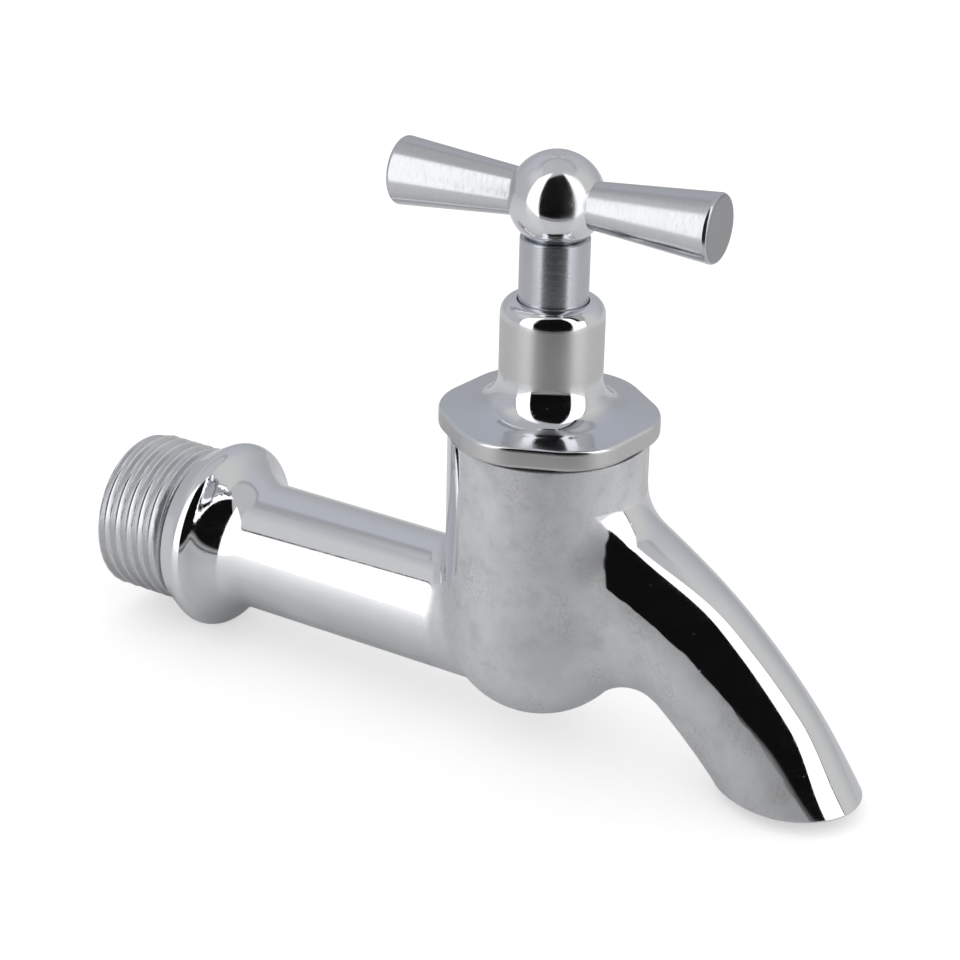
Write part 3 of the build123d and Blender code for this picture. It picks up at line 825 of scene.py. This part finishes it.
# Bright are the pipe and collar, a strip down the chamber's left side and the spout's back. The
# chamber and the spout's underside are satin. Each border has its place, slope and soft edge,
# in metres, and its share of a slow wander.
castingLook = {
    **chrome, "cloudedColour": (0.66, 0.67, 0.685), "stainColour": (0.60, 0.585, 0.565), "stain": 0.6,
    "filmSize": 0.006, "swellSize": 0.008, "swell": 8e-6, "hairDepth": 2e-7, "mottleSize": 0.0026,
    "cloudSize": 0.0065, "pitSize": 0.00035, "stainSize": (0.004, 0.004, 0.007),
    "stainCentre": (0.003, 0.001, 0.002),
    "wanderSize": 0.0035, "wander": 0.0018,
    "side": {"height": 0.0026, "x": 0.066, "slope": 0.07, "wander": 0.6, "edge": (-0.00012, 0.00018)},
    "root": {"slope": 0.3, "wander": 0.95, "edge": (0.0682, 0.0687)},
    "back": {"overShare": 0.9, "zShare": 0.2, "x": 0.0635, "slope": 0.35, "wander": 0.4,
             "edge": (0.0123, 0.0126)},
    "strip": {"wander": 0.5, "edge": (0.0457, 0.0460)},
    "stripFoot": {"height": 0.006, "x": 0.041, "bend": 250, "wander": 0.4, "edge": (-0.0001, 0.0002)},
    "pipe": (0.0385, 0.0405), "under": (-0.005, -0.0005), "low": (-0.003, 0.009),
    "mirror": 0.04, "filmRough": 0.02, "satinRough": (0.49, 0.14), "underRough": (0.05, 0.12),
    "mottle": (0.48, 0.72, 0.45), "clouds": (0.42, 0.66, 0.55), "pits": (0.52, 0.8, 0.35),
    "stains": (0.46, 0.70), "stainPits": (0.42, 0.66), "lowShare": 0.5, "underShare": 0.5, "filmShare": 0.2,
    "mottleHeight": 4e-6, "pitHeight": 1.2e-6,
}
c = castingLook
chromeCasting, at, shader, film, flaws, height = polishedChrome("chromeCasting", c)
x, z = (at.part(key) for key in "XZ")
wander = at.noise(c["wanderSize"], 1.5, 0.5) * c["wander"] - c["wander"] / 2
over = ((x - bendX * mm) ** 2 + (z - bendZ * mm) ** 2) ** 0.5 - casting["bend"] * mm
b = c["side"]
side = (over - b["height"] - (x - b["x"]) * b["slope"] + wander * b["wander"]).step(*b["edge"])
b = c["root"]
root = (x + z * b["slope"] + wander * b["wander"]).step(*b["edge"])
b = c["back"]
back = over * b["overShare"] + z * b["zShare"] - (x - b["x"]) * b["slope"] + wander * b["wander"]
spoutBright = side * root * (1 - back.step(*b["edge"]))
b = c["strip"]
strip = 1 - (x + wander * b["wander"]).step(*b["edge"])
b = c["stripFoot"]
foot = z - b["height"] - (x - b["x"]) ** 2 * b["bend"] + wander * b["wander"]
pipeBright = 1 - x.step(*c["pipe"])
satin = (1 - spoutBright) * (1 - strip * foot.step(*b["edge"])) * (1 - pipeBright)
under = pipeBright * (1 - z.step(*c["under"]))
mottle = at.noise(c["mottleSize"], 4.0, 0.6)
clouds = at.noise(c["cloudSize"], 3.0, 0.55)
pits = at.noise(c["pitSize"], 2.0, 0.6)
stain = at.noise(c["stainSize"], 2.0, 0.5, c["stainCentre"]).step(*c["stains"])
stain = stain * pits.step(*c["stainPits"]) * satin
(satinRough, satinMore), (underRough, underMore) = c["satinRough"], c["underRough"]
roughness = (c["mirror"] + film * c["filmRough"] + satin * (satinRough + mottle * satinMore)
             + under * (underRough + mottle * underMore) + flaws)
first, second, third = (noise.step(low, high) * amount for noise, (low, high, amount) in
                        ((mottle, c["mottle"]), (clouds, c["clouds"]), (pits, c["pits"])))
low = 1 - z.step(*c["low"])
tone = (satin * (1 - low * c["lowShare"]) + under * c["underShare"]) * (first + second + third)
colour = (tone + film * c["filmShare"]).mixed(c["colour"], c["cloudedColour"])
colour = (stain * c["stain"]).mixed(colour, c["stainColour"])
height = height + satin * (mottle * c["mottleHeight"] + pits * c["pitHeight"])
finishMaterial(chromeCasting, shader, colour, roughness, height)

# Heights in metres. Fine turning marks round the neck leave it a little satin, and the plate is
# duller, most of all its rim. The zones' tints go in by one amount.
turnedLook = {
    **chrome, "filmColour": (0.74, 0.75, 0.77), "filmSize": 0.005, "swellSize": 0.006, "swell": 4e-6,
    "hairDepth": 3e-7, "neck": ((0.0345, 0.0360), (0.0420, 0.0432)), "plateRim": (0.02995, 0.0302),
    "plateFace": ((0.0302, 0.0304), (0.0316, 0.0324)), "ball": (0.0515, 0.0520),
    "neckTint": (0.65, 0.645, 0.64), "rimTint": (0.58, 0.58, 0.585), "faceTint": (0.66, 0.68, 0.72),
    "tintAmount": 0.9, "mirror": 0.045, "filmRough": 0.03, "neckRough": (0.25, 0.12), "rimRough": 0.36,
    "faceRough": (0.03, 0.05), "ballRough": (0.05, 0.08), "marks": (0.02, 0.02, 0.00022),
    "marksHeight": 1.2e-6,
}
c = turnedLook
chromeTurned, at, shader, film, flaws, height = polishedChrome("chromeTurned", c)
z = at.part("Z")
neck, plateFace = (z.step(*start) * (1 - z.step(*end)) for start, end in (c["neck"], c["plateFace"]))
plateRim = 1 - z.step(*c["plateRim"])
marks = at.noise(c["marks"], 2.0, 0.6)
roughness = c["mirror"] + film * c["filmRough"] + plateRim * c["rimRough"] + flaws
for mask, pattern, (base, more) in ((neck, marks, c["neckRough"]), (plateFace, film, c["faceRough"]),
                                    (z.step(*c["ball"]), film, c["ballRough"])):
    roughness = roughness + mask * (base + pattern * more)
colour = film.mixed(c["colour"], c["filmColour"])
for mask, tint in ((neck, c["neckTint"]), (plateRim, c["rimTint"]), (plateFace, c["faceTint"])):
    colour = (mask * c["tintAmount"]).mixed(colour, tint)
finishMaterial(chromeTurned, shader, colour, roughness, height + neck * marks * c["marksHeight"])


# What the turned metals share: the dull tarnish and the streaks, where they start and are full,
# and what each adds to the dull colour's share and to the roughness
turning = {"tarnishSize": 0.0035, "tarnish": (0.45, 0.7), "tarnishShare": 0.3, "tarnishRough": 0.05,
           "streak": (0.45, 0.75), "streakShare": 0.4, "endRough": 0.1}


def turnedMetal(name, look, centre, turn):
    # Marks of the turning tool: fine noise stretched round the axis, and broader steps along
    # it. A zone (from, to, colour) sets a colour over its span: "crest" goes by the distance from
    # the axis, "end" by the distance along it, either way, and "groove" by the place along it.
    # The arms' ends are darker and rougher. On the thread the pale crest zone is a painted
    # highlight along the crests, and the dark groove zone by the collar is painted shade.
    made, at, shader = newMaterial(name, {"Metallic": 1.0})
    wide = look["round"]
    fine = at.noise((look["fine"], wide, wide), 2.0, 0.6, centre, turn)
    broad = at.noise((look["broad"], wide * 0.5, wide * 0.5), 3.0, 0.6, centre, turn)
    tarnish = at.noise(look["tarnishSize"], 3.0, 0.6)
    streak = at.noise((look["fine"] * 3, wide * 0.25, wide * 0.25), 2.0, 0.5, centre, turn)
    streak = streak.step(*look["streak"])
    own = at.cells((1, 1, 1), centre, turn)
    along, over, up = (own.part(key) for key in "XYZ")
    measures = {"crest": (over * over + up * up) ** 0.5, "end": along.math("ABSOLUTE", along),
                "groove": along}
    dulled = streak * look["streakShare"] + tarnish.step(*look["tarnish"]) * look["tarnishShare"]
    colour = dulled.mixed(look["colour"], look["dull"])
    roughness = look["rough"] + streak * look["roughMore"] + tarnish * look["tarnishRough"]
    for zone, (low, high, tint) in look["zones"].items():
        mask = measures[zone].step(low, high)
        colour = mask.mixed(colour, tint)
        if zone == "end":
            roughness = roughness + mask * look["endRough"]
    height = fine * look["fineDepth"] + broad * look["broadDepth"]
    return finishMaterial(made, shader, colour, roughness, height)


stemLook = {**turning, "colour": (0.56, 0.575, 0.62), "dull": (0.51, 0.525, 0.565), "fine": 0.00012,
            "broad": 0.0011, "round": 0.008, "fineDepth": 5e-7, "broadDepth": 1e-7, "rough": 0.23,
            "roughMore": 0.04, "zones": {}}
satinStem = turnedMetal("satinStem", stemLook, (valveX * mm, 0, 0), (0, pi / 2, 0))
armLook = {**turning, "colour": (0.63, 0.64, 0.66), "dull": (0.57, 0.58, 0.60), "fine": 0.00010,
           "broad": 0.0009, "round": 0.004, "fineDepth": 1.9e-6, "broadDepth": 2e-7, "rough": 0.15,
           "roughMore": 0.07, "zones": {"end": (0.02035, 0.02045, (0.37, 0.375, 0.39))}}
turnedArms = turnedMetal("turnedArms", armLook, (valveX * mm, 0, ballZ * mm), (0, 0, radians(arm["angle"])))
threadLook = {**turning, "colour": (0.70, 0.71, 0.73), "dull": (0.58, 0.59, 0.61), "fine": 0.00025,
              "broad": 0.002, "round": 0.03, "fineDepth": 8e-7, "broadDepth": 1e-6, "rough": 0.20,
              # the crest zone's pale colour is a painted highlight along the thread's crests
              "roughMore": 0.08, "zones": {"crest": (0.0101, 0.01045, (0.86, 0.86, 0.86)),
                        # the groove zone's dark colour is painted shade in the relief next to the collar
                        "groove": (-0.0014, -0.0010, (0.38, 0.38, 0.39))}}
threadMetal = turnedMetal("threadMetal", threadLook, (0, 0, 0), (0, 0, 0))


def plainFinish(name, look):
    # Two mixed tones, a grain for the bump, and roughness that follows the tones
    made, at, shader = newMaterial(name, {"Metallic": look["metal"]})
    tone = at.noise(look["cloud"], 4.0, 0.6)
    grain = at.noise(look["grain"], 3.0, 0.6)
    colour = tone.step(0.35, 0.7).mixed(look["colour"], look["second"])
    roughness = look["rough"] + tone * look["roughMore"]
    return finishMaterial(made, shader, colour, roughness, grain * look["depth"])


metal = {"metal": 1.0, "cloud": 0.002, "roughMore": 0.15, "depth": 3e-6}
soft = {"metal": 0.0, "cloud": 0.002, "roughMore": 0.2, "depth": 3e-6}
innerLooks = {
    "bareBrass": {**metal, "colour": (0.74, 0.60, 0.34), "second": (0.62, 0.47, 0.24),
                  "grain": (0.003, 0.003, 0.0001), "rough": 0.20},
    "studSteel": {**metal, "colour": (0.62, 0.62, 0.63), "second": (0.48, 0.48, 0.49),
                  "grain": 0.0002, "rough": 0.28},
    "springSteel": {**metal, "colour": (0.60, 0.60, 0.62), "second": (0.46, 0.46, 0.47),
                    "cloud": 0.001, "grain": 0.00015, "rough": 0.22, "depth": 2e-6},
    "sealRubber": {**soft, "colour": (0.045, 0.045, 0.045), "second": (0.075, 0.075, 0.075),
                   "cloud": 0.001, "grain": 0.0001, "rough": 0.55, "depth": 6e-6},
    "slipPlastic": {**soft, "colour": (0.88, 0.87, 0.82), "second": (0.80, 0.78, 0.72),
                    "grain": 0.0002, "rough": 0.35, "roughMore": 0.15},
    # the gasket's red fibre, darkened to near black: painted shade in the narrow gap between the chamber and
    # the plate
    "fibreDarkenedAsShade": {**soft, "colour": (0.06, 0.035, 0.03), "second": (0.035, 0.025, 0.022),
                 "cloud": 0.0008, "grain": 0.00012, "rough": 0.7, "depth": 1e-5},
}
inner = {name: plainFinish(name, look) for name, look in innerLooks.items()}
print("materials made")

worn = {chromeCasting: [tapCasting], chromeTurned: [bonnetShell, ballHub], satinStem: [stemTurned],
        turnedArms: [frontArm, rearArm], threadMetal: [inletThread], inner["fibreDarkenedAsShade"]: [gasketRing]}
for look, pieces in worn.items():
    for piece in pieces:
        piece.data.materials.append(look)
nodeFinish = {"bareBrass": ("jumper", "washer_plate", "washer_nut"), "springSteel": ("jumper_clip",),
              "sealRubber": ("lower_seal", "upper_seal", "seat_washer"), "slipPlastic": ("stop_ring",),
              "studSteel": ("handle_stud",)}
for finish, names in nodeFinish.items():
    for name in names:
        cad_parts[name].data.materials.clear()
        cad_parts[name].data.materials.append(inner[finish])

# Camera at the photograph's angle: it looks along the line at the valve axis, set back by the
# distance, moved by the offset in the picture and rolled. Focal length and offset are in
# pixels of a picture this many pixels wide, and the sensor's width in millimetres.
view = {"azimuth": 31.682, "elevation": 25.007, "distance": 335.0, "roll": 1.292, "focal": 2690.247,
        "offset": (61.973, 151.29), "pixels": 960, "sensor": 36, "clip": (0.01, 20)}
azimuth, elevation, roll = (radians(view[key]) for key in ("azimuth", "elevation", "roll"))
backward = np.array([sin(azimuth) * cos(elevation), -cos(azimuth) * cos(elevation), sin(elevation)])
rightward = unit(np.cross(-backward, (0, 0, 1)))
upward = np.cross(rightward, -backward)
rolledRight = cos(roll) * rightward + sin(roll) * upward
rolledUp = cos(roll) * upward - sin(roll) * rightward
perPixel = view["distance"] / view["focal"]
place = (view["distance"] * backward - view["offset"][0] * perPixel * rolledRight
         + view["offset"][1] * perPixel * rolledUp + (valveX, 0, 0)) * mm
lens = bpy.data.cameras.new("camera")
lens.sensor_width = view["sensor"]
lens.lens = view["focal"] / view["pixels"] * view["sensor"]
lens.clip_start, lens.clip_end = view["clip"]
camera = placed("camera", lens)
turned = np.eye(4)
turned[:3] = np.column_stack([rolledRight, rolledUp, backward, place])
camera.matrix_world = Matrix(turned.tolist())
bpy.context.scene.camera = camera
print("camera placed")


# Studio: a pale floor, a plain room, and two tall soft panels either side of the dark opening
# that the camera looks through. Places are (ahead, sideways, top) from the valve axis, seen
# from the camera, and levels are (height, grey), all in millimetres. The side wall's span and
# fade are in metres, the room's and the ceiling's are shares of the way up.
studio = {
    "floorZ": -12.38, "floorHalf": 3000.0, "floorGrey": 0.72, "boardGrey": 0.80, "floorLift": 0.50,
    "floorRough": 0.2, "soft": 0.84, "roomLow": (0.45, 0.46, 0.475), "roomHigh": (0.54, 0.555, 0.60),
    "roomSpan": (0.1, 0.7), "roomSides": (0.67, 0.665, 0.65), "sidePower": 3, "ceiling": (0.56, 0.56, 0.57),
    "ceilingFrom": 55.4, "ceilingSoft": (0.02, 0.03), "ceilingLine": 0.32, "lineColour": (0.1, 0.1, 0.1),
    "lineNear": 0.002, "lineFar": 0.05, "lineFront": (-0.25, 0.0),
    "opening": ((97, -87, 265), (97, 87, 480)),
    "openingLevels": ((-12.4, 0.10), (-7.0, 0.20), (-2.6, 0.42), (1.0, 0.24), (8.0, 0.004)),
    "leftPanel": ((97, -87, 560), (400, -1445, 1550)), "rightPanel": ((97, 87, 560), (375, 1452, 1550)),
    "panel": 1.5, "rim": 0.05, "rimWidth": 40.0, "sideWall": ((360, -1445, 2500), (-700, -1000, 2200)),
    "wallLow": (0.52, 0.53, 0.56), "wallHigh": (0.68, 0.68, 0.68), "wallSpan": (0.6, 1.2),
    "wallFade": (-0.7, 0.0),
}
ahead = np.array([sin(azimuth), -cos(azimuth), 0])
sideways = np.array([cos(azimuth), sin(azimuth), 0])


def grey(level):
    return (level, level, level, 1)


def card(name, ends, look):
    # An upright flat panel on the floor, between two places
    foot = np.array([(valveX, 0, studio["floorZ"]) + ahead * end[0] + sideways * end[1] for end in ends])
    head = foot.copy()
    head[:, 2] = [end[2] for end in ends]
    corners = np.array([foot[0], foot[1], head[1], head[0]])
    mesh = bpy.data.meshes.new(name)
    mesh.from_pydata((corners * mm).tolist(), [], [(0, 1, 2, 3)])
    mesh.materials.append(look)
    made = placed(name, mesh)
    made.visible_camera = made.visible_diffuse = made.visible_shadow = made.visible_transmission = False
    made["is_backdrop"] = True


def studioLook(name, colour):
    # Emission of a colour: four numbers, or a function that makes a Flow from object coordinates
    made = bpy.data.materials.new(name)
    made.use_nodes = True
    tree = made.node_tree
    tree.nodes.clear()
    at = Flow(tree).node("ShaderNodeTexCoord", out="Object")
    colour = colour(at) if callable(colour) else colour
    glow = at.node("ShaderNodeEmission", {}, {"Color": colour, "Strength": 1.0})
    out = tree.nodes.new("ShaderNodeOutputMaterial")
    tree.links.new(glow.socket, out.inputs["Surface"])
    return made


def openingColour(at):
    # dark above, a pale stripe near its foot, and a darker edge on the floor
    levels = studio["openingLevels"]
    first, last = levels[0][0], levels[-1][0]
    share = (at.part("Z") * (1 / mm) - first) * (1 / (last - first))
    stops = [((level - first) / (last - first), grey(tone)) for level, tone in levels]
    return share.node("ShaderNodeValToRGB", {"stops": stops}, {0: share})


def wallColour(at):
    # paler above, and fading towards the room's own tone at its far end
    paler = at.part("Z").step(*studio["wallSpan"]) * at.towards(ahead).step(*studio["wallFade"])
    return paler.mixed(studio["wallLow"], studio["wallHigh"])


card("opening", studio["opening"], studioLook("studioDark", openingColour))
panelLook = studioLook("studioPanel", grey(studio["panel"]))
rimLook = studioLook("studioRim", grey(studio["rim"]))
for name in ("leftPanel", "rightPanel"):
    near, far = (np.array(end, float) for end in studio[name])
    card(name, (near, far), panelLook)
    card(name + "Rim", (far, far - (studio["rimWidth"], 0, 0)), rimLook)
card("sideWall", studio["sideWall"], studioLook("studioWall", wallColour))  # further round to the left

half, floorZ = studio["floorHalf"] * mm, studio["floorZ"] * mm
floorMesh = bpy.data.meshes.new("floor")
corners = [(x, y, floorZ) for x, y in ((-half, -half), (half, -half), (half, half), (-half, half))]
floorMesh.from_pydata(corners, [], [(0, 1, 2, 3)])
floor = placed("floor", floorMesh)
floor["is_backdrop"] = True
# the metal sees a smooth grey board, the camera sees its shade lifted to white
floorLook, at, shader = newMaterial("paleFloor", {"Base Color": grey(studio["boardGrey"]),
                                                  "Roughness": studio["floorRough"]})
tree = floorLook.node_tree
matt = at.node("ShaderNodeBsdfDiffuse", {}, {"Color": grey(studio["floorGrey"])})
lift = at.node("ShaderNodeEmission", {}, {"Color": grey(1), "Strength": studio["floorLift"]})
white = at.node("ShaderNodeAddShader", {}, {0: matt, 1: lift})
seen = at.node("ShaderNodeLightPath", out="Is Camera Ray")
both = at.node("ShaderNodeMixShader", {}, {0: seen, 1: Flow(tree, shader.outputs[0]), 2: white})
tree.links.new(both.socket, tree.nodes["Material Output"].inputs["Surface"])
floorMesh.materials.append(floorLook)

# The room: white to the camera, in the metal a grey that is lighter to both sides and cooler
# higher up, under a pale ceiling with a dark line along its edge, and a soft even light
world = bpy.data.worlds.new("studio")
bpy.context.scene.world = world
world.use_nodes = True
tree = world.node_tree
start = Flow(tree)
seen = start.node("ShaderNodeLightPath", out="Is Camera Ray")
mirrored = start.node("ShaderNodeLightPath", out="Is Glossy Ray")
direction = start.node("ShaderNodeTexCoord", out="Generated")
height, toSide, toFront = direction.part("Z"), direction.towards(sideways), direction.towards(ahead)
level = 1.001 - height * height  # how level the direction is, a little more than nought overhead
toWalls = (toSide * toSide * level ** -1) ** studio["sidePower"]
room = height.step(*studio["roomSpan"]).mixed(studio["roomLow"], studio["roomHigh"])
room = toWalls.mixed(room, studio["roomSides"])
edge, (below, above) = sin(radians(studio["ceilingFrom"])), studio["ceilingSoft"]
room = height.step(edge - below, edge + above).mixed(room, studio["ceiling"])
near, far = studio["lineNear"], studio["lineFar"]
line = height.step(edge - far, edge - near) * (1 - height.step(edge + near, edge + far))
line = line * (1 - toFront.step(*studio["lineFront"])) * studio["ceilingLine"]
room = line.mixed(room, studio["lineColour"])
light = mirrored.mixed(grey(studio["soft"])[:3], room)
whole = seen.mixed(light, (1, 1, 1))
tree.links.new(whole.socket, tree.nodes["Background"].inputs["Color"])
tree.nodes["Background"].inputs["Strength"].default_value = 1.0
bpy.context.scene.view_settings.view_transform = "Standard"
print("studio made")

low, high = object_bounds()
